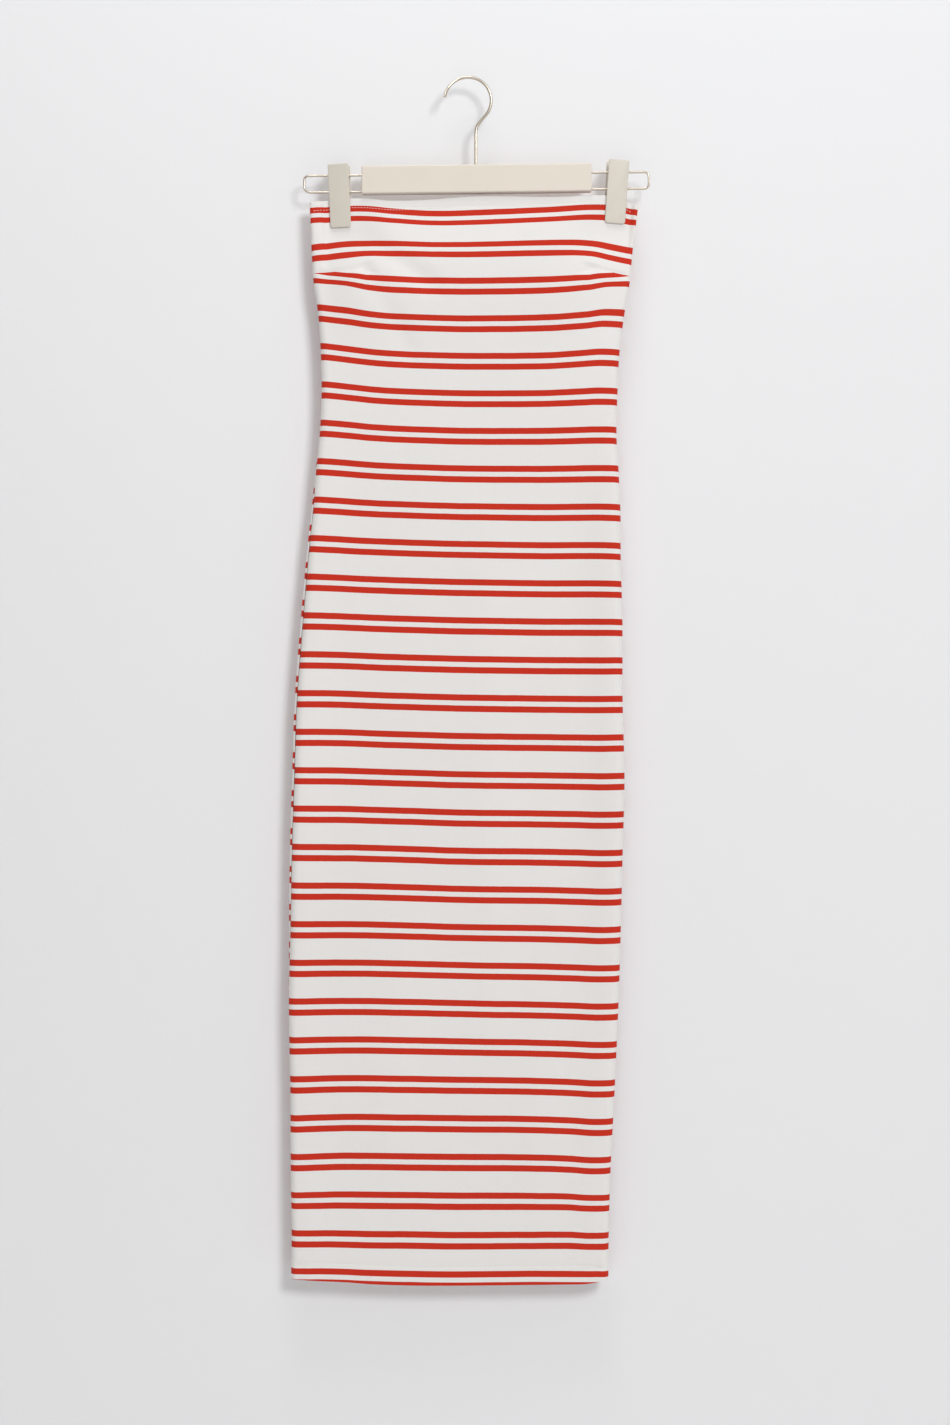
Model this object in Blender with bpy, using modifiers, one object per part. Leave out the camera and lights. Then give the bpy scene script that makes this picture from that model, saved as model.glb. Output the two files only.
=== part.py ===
"""Strapless knit dress, hung flat from a clip hanger.

The dress is a tube of two panels, front and back, sewn together at the sides. A bust dart
runs into the front from each side seam, and the top edge and the hem are turned. The hanger
is a moulded bar on a bent wire frame, with a wire hook and two spring clips.

Sizes are in millimetres, and the last step of each piece brings them to metres. X runs to
the viewer's right, Y away from the viewer and Z up. The origin is the inside of the hook's
top, where the hanger hangs.
"""
import math
from bisect import bisect_right

import bmesh
import bpy
from mathutils import Matrix, Vector

MM = 0.001
FRONT = 1
BACK = -1

# Dress
TOP = 125.6                # hook to top edge, down the middle
LENGTH = 1156.5            # top edge to hem fold, down the middle
CLOTH = 1.1                # one layer of knit
TURNED = 1.9               # two layers of knit, pressed
TOP_TURN = 12.0            # depth of the turned top edge
HEM_TURN = 20.5            # depth of the turned hem
SEAM_GAP = 0.3             # between the two panels at a side seam
SEAM_FLAT = 1.2            # pressed flat on each side of a seam
FOLD_REACH = 24.0          # how far a side fold's fullness spreads into the panel
HEM_SWELL = 0.5            # how far the turned hem stands proud

# The side folds of the hung dress
# below the hook, left fold, right fold
OUTLINE = (
    (125, -168.8, 182.5),
    (155, -167.5, 178.6),
    (185, -166.3, 174.9),
    (218, -164.2, 171.8),
    (250, -159.5, 166.4),
    (292, -156.6, 161.1),
    (335, -155.8, 158.9),
    (380, -158.0, 157.9),
    (417, -162.0, 160.1),
    (457, -165.6, 162.0),
    (510, -171.2, 162.4),
    (577, -177.0, 164.2),
    (660, -183.3, 164.4),
    (745, -186.2, 166.4),
    (825, -188.6, 164.4),
    (915, -189.8, 162.2),
    (985, -190.7, 160.0),
    (1078, -189.0, 155.8),
    (1160, -188.6, 151.6),
    (1230, -187.6, 149.6),
    (1285, -188.4, 149.2),
)

# How full the flattened tube is: radius of each side fold, how far each panel stands out
# from the middle plane, and how far the left seam has rolled to the front, in radians
# below the hook, left radius, right radius, front, back, roll
FULLNESS = (
    (125, 3.0, 3.0, 4.6, 4.6, 0.0),
    (142, 3.6, 3.6, 5.4, 4.8, 0.0),
    (165, 4.5, 4.5, 9.0, 5.0, 0.0),
    (188, 5.4, 5.4, 12.4, 5.2, 0.0),
    (218, 6.5, 6.5, 13.5, 5.5, 0.0),
    (300, 8.0, 8.5, 10.5, 5.5, 0.0),
    (400, 8.0, 9.0, 7.5, 5.5, 0.1),
    (480, 8.2, 9.5, 6.2, 5.8, 0.8),
    (700, 8.5, 10.0, 5.4, 6.0, 0.85),
    (880, 8.2, 9.6, 5.3, 6.0, 0.7),
    (980, 8.0, 9.0, 5.5, 6.0, 0.1),
    (1200, 7.8, 7.8, 6.5, 6.5, 0.0),
    (1285, 7.5, 7.5, 7.2, 7.0, 0.0),
)

# How far the knit's rows lift above their height at the middle of the panel
# down from the top edge, then the lift at each of the places across
FRONT_ACROSS = (0, 0.1, 0.17, 0.25, 0.375, 0.5, 0.75, 0.87, 0.93, 1)
DART_ROW = 78.4
FRONT_ROWS = (
    (0, -6.3, -2.6, -2.4, -4.8, -3.2, 0, -0.5, 1.0, 0.0, -10.6),
    (23.8, 2.5, 4.6, 4.5, 1.8, -0.8, 0, 3.7, 6.2, 5.4, 0.4),
    (57.8, -3.6, 0.5, 1.4, 1.0, 0.0, 0, 1.6, 1.1, -2.6, -7.0),
    (DART_ROW, -3.9, -1.6, 2.3, 1.7, 0.6, 0, 1.5, 2.4, -2.1, -6.9),
    (103.2, 12.7, 9.5, 5.0, 2.0, 0.5, 0, 1.4, 4.8, 8.4, 9.1),
    (136.7, 12.2, 8.0, 4.4, 2.3, 0.7, 0, 1.1, 3.7, 6.2, 5.8),
    (176.5, 11.0, 7.0, 4.2, 2.3, 0.8, 0, 0.5, 2.8, 4.2, 3.6),
    (255.6, 8.8, 6.3, 4.1, 2.5, 1.0, 0, 0.0, 0.8, 1.2, 0.9),
    (375.8, 6.4, 4.9, 3.6, 2.5, 1.1, 0, -1.2, -1.1, -1.3, -2.1),
    (538.6, 4.5, 4.4, 3.7, 2.5, 1.2, 0, -1.2, -1.6, -1.7, -1.4),
    (700.8, 4.2, 3.7, 3.5, 2.8, 1.5, 0, -1.1, -2.0, -2.5, -2.0),
    (862.4, 1.8, 2.0, 2.1, 2.0, 1.1, 0, -1.6, -2.9, -3.5, -2.9),
    (1025.6, 0.0, 0.7, 1.2, 1.1, 0.5, 0, -0.5, -1.8, -3.1, -2.7),
    (1109, 2.4, 2.1, 1.7, 1.0, 0.7, 0, 0.3, 0.5, -0.2, 0.0),
    (1145.3, 3.6, 3.6, 2.9, 1.6, 0.6, 0, 0.7, 0.6, 0.7, 0.6),
    (LENGTH, 6.9, 4.8, 3.7, 1.6, 0.2, 0, 0.8, 1.3, 2.0, 5.8),
)
BACK_ACROSS = (0, 0.1, 0.25, 0.5, 0.75, 0.9, 1)
BACK_ROWS = (
    (0, -6.3, -2.6, -1.0, 0.4, 0.4, 0.4, -10.6),
    (40, -1.0, 0.5, 0.5, 0, 0.5, 0.5, -4.0),
    (160, -3.0, -1.5, -0.5, 0, -0.5, -1.5, -4.0),
    (420, 0.5, 0.5, 0.5, 0, -0.5, -1.5, -3.0),
    (800, 3.0, 2.0, 1.0, 0, -1.0, -2.0, -2.5),
    (1060, 3.0, 2.0, 1.0, 0, 0.0, 0.0, 0.0),
    (LENGTH, 6.9, 4.8, 1.6, 0, 0.8, 1.8, 5.8),
)

# Soft troughs and ridges
# from x, below the hook, to x, below the hook, height out, half-width
FRONT_CREASES = (
    (-122, 162, -42, 217, -2.2, 12.0),     # pull from the left clip
    (-104, 212, -62, 290, -1.0, 13.0),     # from the left dart's point towards the waist
    (-88, 232, -78, 240, 1.5, 38.0),       # left side of the bust
    (104, 228, 108, 240, 1.5, 38.0),       # right side of the bust
    (-109, 201, -107, 202, -2.0, 6.0),     # left dart's point
    (128, 202, 130, 203, -2.0, 6.0),       # right dart's point
    (166, 158, 166, 172, -0.8, 3.5),       # beside the right clip
    (16, 470, 26, 1010, 1.7, 24.0),        # long ridge down the skirt
    (-70, 880, -86, 1120, 1.0, 22.0),      # lower skirt, left
    (78, 980, 70, 1180, 0.9, 20.0),        # lower skirt, right
)
BACK_CREASES = (
    (-104, 160, -30, 240, -1.8, 14.0),
    (118, 160, 66, 228, -1.6, 13.0),
    (-48, 420, -66, 980, 1.6, 24.0),
    (62, 520, 44, 1060, 1.4, 22.0),
    (-10, 900, -4, 1180, -1.0, 20.0),
)

# A bust dart: its point as a share of the panel's width, and the knit that it swallows
# at the seam
LEFT_DART = 0.17
RIGHT_DART = 0.87
DART_GROOVE = 0.9

# Hanger
HANGER_TILT = math.radians(0.66)
BAR_CENTRE = (9.0, -2.5, -107.5)
BAR_SIZE = (244.0, 14.0, 29.5)
BAR_EDGE = 1.3
FRAME_WIDTH = 366.5        # between the centres of the wire's two ends
FRAME_TOP = 6.1            # upper wire above the bar's centre
FRAME_BOTTOM = -11.5       # lower wire below it
FRAME_CORNER = 4.5
FRAME_WIRE = 1.2           # radius
HOOK_WIRE = 1.65           # radius
HOOK_RADIUS = 24.6
HOOK_END = -40.0           # where the crook straightens, in degrees from +X
HOOK_TIP = 174.0
HOOK_TIP_FORWARD = 6.0
STEM_X = 8.2
STEM_TOP = -58.0
STEM_DEPTH = 5.2           # into the bar
FIT = 0.3

# Clips
CLIP_WIDTH = 22.0
CLIP_HEIGHT = 67.0
CLIP_PLATE = 2.2
CLIP_CORNER = 3.5
CLIP_EDGE = 0.6
CLIP_PAD = 12.5            # height of the upright gripping end
CLIP_SPREAD = 3.7          # how much further apart the jaws stand at the top
JAW_GAP = SEAM_GAP / 2 + TURNED + FIT
SPRING_WIDTH = 10.0
SPRING_STRIP = 0.6
SPRING_BEND = 2.4          # inner radius round the lower wire
SPRING_REACH = 31.0        # top of the legs above the clip's centre
# name, x, below the hook, lean of its foot to the right, turn about the upright
CLIPS = (
    ("left", -136.1, 125.3, math.radians(2.2), math.radians(-6.0)),
    ("right", 157.5, 120.9, math.radians(-3.4), math.radians(8.0)),
)
GRIP_OUTER = 15.4          # the cloth lies flat this far from a clip's middle, outwards
GRIP_INNER = 19.0
GRIP_FADE_OUTER = 4.5
GRIP_FADE_INNER = 26.0
GRIP_FADE_DOWN = 34.0

# Mesh of the panels
FIRST_COLUMN = 1.9
COLUMN_GROWTH = 1.34
SIDE_COLUMNS = 11
MIDDLE_COLUMNS = 2
# from this far down, rows stand this far apart
FRONT_STEPS = (
    (0, 3.0),
    (TOP_TURN, 9.0),
    (66, 6.2),
    (DART_ROW, 6.2),
    (103.2, 12.0),
    (151.2, 31.0),
    (1081.2, 13.0),
    (LENGTH - HEM_TURN - 4, 2.0),
    (LENGTH - HEM_TURN, 5.9),
)
BACK_STEPS = (
    (0, 4.0),
    (TOP_TURN, 13.0),
    (64, 40.0),
    (1064, 25.0),
    (LENGTH - HEM_TURN - 4, 2.0),
    (LENGTH - HEM_TURN, 5.9),
)

# colour, roughness, metallic
KNIT_FINISH = ((0.80, 0.78, 0.75, 1), 0.85, 0.0)
BAR_FINISH = ((0.76, 0.69, 0.60, 1), 0.40, 0.0)
CLIP_FINISH = ((0.64, 0.59, 0.51, 1), 0.45, 0.0)
WIRE_FINISH = ((0.72, 0.66, 0.58, 1), 0.25, 1.0)


def curve_through(stations, values, at):
    """The value at one place, on a smooth curve through values at rising stations."""
    last = len(stations) - 1
    at = min(max(at, stations[0]), stations[last])
    low = min(bisect_right(stations, at) - 1, last - 1)

    def slope(k):
        before, after = max(k - 1, 0), min(k + 1, last)
        return (values[after] - values[before]) / (stations[after] - stations[before])

    span = stations[low + 1] - stations[low]
    s = (at - stations[low]) / span
    start, end = slope(low) * span, slope(low + 1) * span
    rise = s * s * (3 - 2 * s)
    return (values[low] * (1 - rise) + values[low + 1] * rise
            + s * (1 - s) * ((1 - s) * start - s * end))


def table_row(table, at):
    """Every column of a table after its first, at one value of the first."""
    stations = [row[0] for row in table]
    columns = range(1, len(table[0]))
    return [curve_through(stations, [row[k] for row in table], at) for k in columns]


def ease(value, start, end):
    """0 before start, 1 after end, smooth between."""
    s = min(max((value - start) / (end - start), 0.0), 1.0)
    return s * s * (3 - 2 * s)


def bump(distance, width):
    """1 at no distance, and soon nothing past the width."""
    return math.exp(-(distance / width) ** 2)


def side_fold(arc, radius, seam_angle):
    """A point of a side fold: how far it lies in from the fold's edge, and how far out.

    The arc is measured from the seam. The seam is pressed flat, and lies at the seam angle
    past the fold's edge, on the side that the arc runs to.
    """
    inward = SEAM_FLAT * math.sin(seam_angle) + radius * (1 - math.cos(seam_angle))
    outward = radius * math.sin(seam_angle)
    flat = min(arc, SEAM_FLAT)
    inward += flat * math.sin(seam_angle)
    outward += flat * math.cos(seam_angle)
    turned = min(max(arc - SEAM_FLAT, 0) / radius, math.pi / 2 - seam_angle)
    angle = seam_angle + turned
    inward += radius * (math.cos(seam_angle) - math.cos(angle))
    outward += radius * (math.sin(angle) - math.sin(seam_angle))
    beyond = max(arc - SEAM_FLAT - radius * (math.pi / 2 - seam_angle), 0)
    return inward + beyond, outward


def clip_grip(x, below):
    """How tightly the clips hold the cloth at a place, and how far they turn it back."""
    grip = 0.0
    turn = 0.0
    for _, clip_x, clip_below, lean, yaw in CLIPS:
        outwards = math.copysign(1, clip_x)
        middle = clip_x + (below - clip_below) * math.tan(lean)
        away = (x - middle) * outwards
        past = max(away - GRIP_OUTER, 0) / GRIP_FADE_OUTER
        past += max(-away - GRIP_INNER, 0) / GRIP_FADE_INNER
        lower = max(below - clip_below - CLIP_HEIGHT / 2 - 1.5, 0) / GRIP_FADE_DOWN
        held = math.exp(-past ** 2 - lower ** 2)
        grip = max(grip, held)
        turn += held * math.tan(yaw) * (x - middle)
    return grip, turn


def creases(table, x, below):
    """Height of the soft ridges and troughs at a place."""
    height = 0.0
    for x0, below0, x1, below1, out, width in table:
        run, drop = x1 - x0, below1 - below0
        along = ((x - x0) * run + (below - below0) * drop) / (run * run + drop * drop + 1e-9)
        along = min(max(along, 0.0), 1.0)
        away = math.hypot(x - x0 - run * along, below - below0 - drop * along)
        height += out * bump(away, width)
    return height


def dart_groove(down, share):
    """Depth of the sewn groove along the bust darts."""
    along = max(1 - share / LEFT_DART, (share - RIGHT_DART) / (1 - RIGHT_DART), 0)
    return DART_GROOVE * ease(along, 0.0, 0.15) * bump(down - DART_ROW, 3.0)


def columns(total):
    """Distances across a panel: fine where its sides turn, and wide in the middle."""
    near = [SEAM_GAP / 2, SEAM_FLAT]
    for k in range(SIDE_COLUMNS - 1):
        near.append(near[-1] + FIRST_COLUMN * COLUMN_GROWTH ** k)
    far = [total - distance for distance in reversed(near)]
    gap = (far[0] - near[-1]) / (MIDDLE_COLUMNS + 1)
    middle = [near[-1] + gap * (k + 1) for k in range(MIDDLE_COLUMNS)]
    return near + middle + far


def panel_row(side, down):
    """World points of one row of a panel, from its left seam to its right seam."""
    rows, across = (FRONT_ROWS, FRONT_ACROSS) if side == FRONT else (BACK_ROWS, BACK_ACROSS)
    wrinkles = FRONT_CREASES if side == FRONT else BACK_CREASES
    lifts = table_row(rows, down)
    level = TOP + down
    left = table_row(OUTLINE, level - lifts[0])[0]
    right = table_row(OUTLINE, level - lifts[-1])[1]
    left_radius, right_radius, front, back, roll = table_row(FULLNESS, level)
    body = front if side == FRONT else back
    roll *= side
    left_turn = SEAM_FLAT + left_radius * (math.pi / 2 - roll)
    right_turn = SEAM_FLAT + right_radius * math.pi / 2
    left_edge, left_full = side_fold(left_turn, left_radius, roll)
    right_edge, right_full = side_fold(right_turn, right_radius, 0.0)
    total = left_turn + (right - left - left_edge - right_edge) + right_turn
    hem = HEM_SWELL * ease(down, LENGTH - HEM_TURN - 3, LENGTH - HEM_TURN + 1)
    points = []
    for arc in columns(total):
        if arc < total / 2:
            inward, outward = side_fold(arc, left_radius, roll)
            x = left + inward
        else:
            inward, outward = side_fold(total - arc, right_radius, 0.0)
            x = right - inward
        share = (x - left) / (right - left)
        z = curve_through(across, lifts, share) - level
        settled_left = bump(max(x - left - left_edge, 0), FOLD_REACH)
        settled_right = bump(max(right - right_edge - x, 0), FOLD_REACH)
        settled = 1 - max(settled_left, settled_right)
        middle = body + creases(wrinkles, x, -z)
        outward += (middle - outward) * settled + hem * ease(settled, 0, 0.2)
        if side == FRONT:
            outward -= dart_groove(down, share) * ease(inward, 2.0, 8.0)
        grip, turn = clip_grip(x, -z)
        outward += (SEAM_GAP / 2 + TURNED - outward) * grip
        points.append(Vector((x, turn - side * outward, z)) * MM)
    return points


def row_depths(steps):
    """Distances down the panel of its mesh's rows."""
    depths = []
    ends = [start for start, _ in steps[1:]] + [LENGTH]
    for (start, step), end in zip(steps, ends):
        count = max(round((end - start) / step), 1)
        depths += [start + (end - start) * k / count for k in range(count)]
    return depths + [LENGTH]


def new_object(name, mesh, finish, collection):
    """An object in its collection, with its own material."""
    piece = bpy.data.objects.new(name, mesh)
    colour, roughness, metallic = finish
    material = bpy.data.materials.new(name)
    material.use_nodes = True
    shader = material.node_tree.nodes["Principled BSDF"]
    shader.inputs["Base Color"].default_value = colour
    shader.inputs["Roughness"].default_value = roughness
    shader.inputs["Metallic"].default_value = metallic
    piece.data.materials.append(material)
    collection.objects.link(piece)
    return piece


def make_panel(name, side, steps, collection):
    """One panel: an open sheet of rows, given its wall on the inside."""
    depths = row_depths(steps)
    form = bmesh.new()
    grid = [[form.verts.new(point) for point in panel_row(side, down)] for down in depths]
    for upper, lower in zip(grid, grid[1:]):
        for k in range(len(upper) - 1):
            corners = [upper[k], lower[k], lower[k + 1], upper[k + 1]]
            form.faces.new(corners if side == FRONT else corners[::-1])
    mesh = bpy.data.meshes.new(name)
    form.to_mesh(mesh)
    form.free()
    mesh.shade_smooth()
    piece = new_object(name, mesh, KNIT_FINISH, collection)

    walls = piece.vertex_groups.new(name="wall")
    across = len(grid[0])
    for k, down in enumerate(depths):
        top = 1 - ease(down, TOP_TURN - 2, TOP_TURN + 4)
        hem = ease(down, LENGTH - HEM_TURN - 3, LENGTH - HEM_TURN + 1)
        share = (CLOTH + (TURNED - CLOTH) * max(top, hem)) / TURNED
        walls.add(range(k * across, (k + 1) * across), share, "REPLACE")
    wall = piece.modifiers.new("Wall", "SOLIDIFY")
    wall.thickness = TURNED * MM
    wall.offset = -1
    wall.vertex_group = walls.name
    return piece


def arc_points(centre, radius, start, end, count):
    """Points on an arc in the XZ plane, by angles in degrees from +X towards +Z."""
    angles = [math.radians(start + (end - start) * k / count) for k in range(count + 1)]
    return [(centre[0] + radius * math.cos(a), 0.0, centre[1] + radius * math.sin(a))
            for a in angles]


def make_wire(name, points, radius, closed, collection):
    """A bent wire along a route in the XZ plane."""
    route = bpy.data.curves.new(name, "CURVE")
    route.dimensions = "3D"
    route.bevel_depth = radius * MM
    route.bevel_resolution = 2
    route.use_fill_caps = not closed
    line = route.splines.new("POLY")
    line.points.add(len(points) - 1)
    for point, place in zip(line.points, points):
        point.co = (*(Vector(place) * MM), 1)
    line.use_cyclic_u = closed
    line.use_smooth = True
    return new_object(name, route, WIRE_FINISH, collection)


def hanger_place():
    """Where the hanger's bar and frame lie, with their slight tilt."""
    centre = Vector((BAR_CENTRE[0], 0, BAR_CENTRE[2])) * MM
    return Matrix.Translation(centre) @ Matrix.Rotation(-HANGER_TILT, 4, "Y")


def make_hook(collection):
    """The hook: a crook, a short bend and an upright stem down into the bar."""
    centre = (0.0, HOOK_WIRE - HOOK_RADIUS)
    crook = arc_points(centre, HOOK_RADIUS, HOOK_TIP, HOOK_END, 22)
    for k, (x, _, z) in enumerate(crook[:8]):
        forward = HOOK_TIP_FORWARD * (1 - k / 8) ** 2
        crook[k] = (x, -forward, z)
    bar_top = BAR_CENTRE[2] + BAR_SIZE[2] / 2
    neck = [
        (STEM_X + 4.8, 0.0, STEM_TOP + 12.5),
        (STEM_X + 2.0, 0.0, STEM_TOP + 8.6),
        (STEM_X + 0.5, 0.0, STEM_TOP + 4.6),
        (STEM_X, 0.0, STEM_TOP),
    ]
    stem = [(STEM_X, 0.0, -76.0), (STEM_X, 0.0, bar_top - STEM_DEPTH)]
    return make_wire("hanger_hook", crook + neck + stem, HOOK_WIRE, False, collection)


def make_frame(collection):
    """The frame: one wire bent to a long loop with rounded corners."""
    side = FRAME_WIDTH / 2 - FRAME_CORNER
    top = FRAME_TOP - FRAME_CORNER
    bottom = FRAME_BOTTOM + FRAME_CORNER
    corners = ((side, top, 0), (-side, top, 90), (-side, bottom, 180), (side, bottom, 270))
    loop = []
    for x, z, start in corners:
        loop += arc_points((x, z), FRAME_CORNER, start, start + 90, 4)
    piece = make_wire("hanger_frame", loop, FRAME_WIRE, True, collection)
    piece.matrix_world = hanger_place()
    return piece


def make_bore(name, radius, length, place, collection):
    """A round cutter lying along Z until its place turns it."""
    form = bmesh.new()
    bmesh.ops.create_cone(form, cap_ends=True, segments=16, radius1=radius * MM,
                          radius2=radius * MM, depth=length * MM, matrix=place)
    mesh = bpy.data.meshes.new(name)
    form.to_mesh(mesh)
    form.free()
    cutter = bpy.data.objects.new(name, mesh)
    cutter.hide_render = True
    cutter.display_type = "WIRE"
    collection.objects.link(cutter)
    return cutter


def make_bar(parts, cutters):
    """The bar, bored along its length for the frame and from above for the hook."""
    form = bmesh.new()
    bmesh.ops.create_cube(form, size=1.0)
    bmesh.ops.scale(form, vec=Vector(BAR_SIZE) * MM, verts=form.verts)
    bmesh.ops.translate(form, vec=Vector((0, BAR_CENTRE[1], 0)) * MM, verts=form.verts)
    mesh = bpy.data.meshes.new("hanger_bar")
    form.to_mesh(mesh)
    form.free()
    piece = new_object("hanger_bar", mesh, BAR_FINISH, parts)
    piece.matrix_world = hanger_place()
    edges = piece.modifiers.new("Edges", "BEVEL")
    edges.width = BAR_EDGE * MM
    edges.segments = 2

    lengthwise = Matrix.Rotation(math.pi / 2, 4, "Y")
    bore = FRAME_WIRE + FIT
    bores = [
        make_bore("frame_bore_upper", bore, BAR_SIZE[0] + 10,
                  Matrix.Translation((0, 0, FRAME_TOP * MM)) @ lengthwise, cutters),
        make_bore("frame_bore_lower", bore, BAR_SIZE[0] + 10,
                  Matrix.Translation((0, 0, FRAME_BOTTOM * MM)) @ lengthwise, cutters),
    ]
    for cutter in bores:
        cutter.matrix_world = hanger_place()
    bar_top = BAR_CENTRE[2] + BAR_SIZE[2] / 2
    socket = 2 * (STEM_DEPTH + FIT)
    place = Matrix.Translation(Vector((STEM_X, 0, bar_top)) * MM)
    bores.append(make_bore("hook_socket", HOOK_WIRE + FIT, socket, place, cutters))
    for cutter in bores:
        cut = piece.modifiers.new(cutter.name, "BOOLEAN")
        cut.object = cutter
        cut.solver = "EXACT"
    return piece


def clip_place(x, below, lean, yaw):
    """Where a clip hangs, leaning and turned."""
    turn = Matrix.Rotation(-lean, 4, "Y") @ Matrix.Rotation(yaw, 4, "Z")
    return Matrix.Translation(Vector((x, 0, -below)) * MM) @ turn


def make_jaw(name, side, place, collection):
    """One jaw: an upright gripping end below, and a plate that leans away above it."""
    form = bmesh.new()
    bmesh.ops.create_cube(form, size=1.0)
    bmesh.ops.scale(form, vec=(CLIP_WIDTH, CLIP_PLATE, CLIP_HEIGHT), verts=form.verts)
    outwards = -side * (JAW_GAP + CLIP_PLATE / 2)
    bmesh.ops.translate(form, vec=(0, outwards, 0), verts=form.verts)
    bend = CLIP_PAD - CLIP_HEIGHT / 2
    everything = form.verts[:] + form.edges[:] + form.faces[:]
    bmesh.ops.bisect_plane(form, geom=everything, plane_co=(0, 0, bend), plane_no=(0, 0, 1))
    top = [v for v in form.verts if v.co.z > bend + 1]
    bmesh.ops.translate(form, vec=(0, -side * CLIP_SPREAD, 0), verts=top)

    foot = -CLIP_HEIGHT / 2
    corners = [e for e in form.edges
               if all(abs(v.co.z - foot) < 0.01 for v in e.verts)
               and abs(e.verts[0].co.x - e.verts[1].co.x) < 0.01]
    bmesh.ops.bevel(form, geom=corners, offset=CLIP_CORNER, offset_type="OFFSET",
                    affect="EDGES", segments=3, profile=0.5, material=-1)
    rims = [e for e in form.edges
            if len(e.link_faces) == 2 and e.calc_face_angle(0) > math.radians(50)]
    bmesh.ops.bevel(form, geom=rims, offset=CLIP_EDGE, offset_type="OFFSET",
                    affect="EDGES", segments=1, profile=0.5, material=-1)
    bmesh.ops.scale(form, vec=(MM, MM, MM), verts=form.verts)
    mesh = bpy.data.meshes.new(name)
    form.to_mesh(mesh)
    form.free()
    piece = new_object(name, mesh, CLIP_FINISH, collection)
    piece.matrix_world = place
    return piece


def make_spring(name, wire_above, place, collection):
    """A bent strip: round under the lower wire, with its legs against the two jaws."""
    jaw_slope = CLIP_SPREAD / (CLIP_HEIGHT - CLIP_PAD)
    reach = SPRING_REACH - (CLIP_PAD - CLIP_HEIGHT / 2)
    leg_top = JAW_GAP + jaw_slope * reach - FIT
    bend = SPRING_BEND + SPRING_STRIP
    route = []
    for k in range(7):
        angle = math.pi + math.pi * k / 6
        route.append((bend * math.cos(angle), wire_above + bend * math.sin(angle)))
    route = [(-leg_top, SPRING_REACH)] + route + [(leg_top, SPRING_REACH)]
    half = SPRING_WIDTH / 2
    form = bmesh.new()
    near = [form.verts.new(Vector((-half, y, z)) * MM) for y, z in route]
    far = [form.verts.new(Vector((half, y, z)) * MM) for y, z in route]
    for k in range(len(route) - 1):
        form.faces.new((near[k], near[k + 1], far[k + 1], far[k]))
    bmesh.ops.recalc_face_normals(form, faces=form.faces[:])
    mesh = bpy.data.meshes.new(name)
    form.to_mesh(mesh)
    form.free()
    piece = new_object(name, mesh, WIRE_FINISH, collection)
    piece.matrix_world = place
    strip = piece.modifiers.new("Strip", "SOLIDIFY")
    strip.thickness = SPRING_STRIP * MM
    strip.offset = 1 if mesh.polygons[0].normal.y > 0 else -1
    return piece


def make_clip(clip, collection):
    """Two jaws and the spring between them."""
    name, x, below, lean, yaw = clip
    place = clip_place(x, below, lean, yaw)
    wire_below = -BAR_CENTRE[2] - FRAME_BOTTOM - (x - BAR_CENTRE[0]) * math.tan(HANGER_TILT)
    make_jaw(f"clip_{name}_front_jaw", FRONT, place, collection)
    make_jaw(f"clip_{name}_back_jaw", BACK, place, collection)
    make_spring(f"clip_{name}_spring", below - wire_below, place, collection)


def main():
    """The whole dress on its hanger."""
    for old in list(bpy.data.objects):
        bpy.data.objects.remove(old)
    parts = bpy.data.collections.new("strapless_dress")
    cutters = bpy.data.collections.new("cutters")
    bpy.context.scene.collection.children.link(parts)
    bpy.context.scene.collection.children.link(cutters)

    make_panel("dress_front", FRONT, FRONT_STEPS, parts)
    make_panel("dress_back", BACK, BACK_STEPS, parts)
    make_hook(parts)
    make_frame(parts)
    make_bar(parts, cutters)
    for clip in CLIPS:
        make_clip(clip, parts)


main()
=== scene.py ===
"""Strapless striped knit dress on a clip hanger: the cloth, stitching and hanger that show.

Sizes are in millimetres, and the last step of each piece brings them to metres. X runs to
the viewer's right, Y away from the viewer and Z up. The origin is the inside of the hook's
top, where the hanger hangs.
"""
import math
from bisect import bisect_right

import bmesh
import bpy
from bpy.props import FloatProperty, FloatVectorProperty, PointerProperty
from bpy.types import Operator, Panel, PropertyGroup
from mathutils import Matrix, Vector, noise
from mathutils.bvhtree import BVHTree


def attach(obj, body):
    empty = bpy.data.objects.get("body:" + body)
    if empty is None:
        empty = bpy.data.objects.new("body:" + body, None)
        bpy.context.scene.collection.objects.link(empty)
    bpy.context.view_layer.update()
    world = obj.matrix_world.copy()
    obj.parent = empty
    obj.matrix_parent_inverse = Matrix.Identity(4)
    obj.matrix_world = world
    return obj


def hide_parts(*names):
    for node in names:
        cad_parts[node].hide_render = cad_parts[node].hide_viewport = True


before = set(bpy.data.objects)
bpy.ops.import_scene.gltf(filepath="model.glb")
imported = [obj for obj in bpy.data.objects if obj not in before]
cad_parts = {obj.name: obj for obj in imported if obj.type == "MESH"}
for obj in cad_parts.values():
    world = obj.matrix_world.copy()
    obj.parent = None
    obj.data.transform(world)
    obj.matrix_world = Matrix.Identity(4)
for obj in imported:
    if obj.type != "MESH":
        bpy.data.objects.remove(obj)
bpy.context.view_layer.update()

bl_info = {
    "name": "Striped Knit Dress",
    "version": (1, 0, 0),
    "blender": (4, 5, 0),
    "location": "View3D > Sidebar > Dress",
    "description": "Builds a striped strapless knit dress on its clip hanger",
    "category": "Add Mesh",
}

MM = 0.001
NEAR = 0.05                # places closer than this are the same
FRONT = 1
BACK = -1

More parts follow.
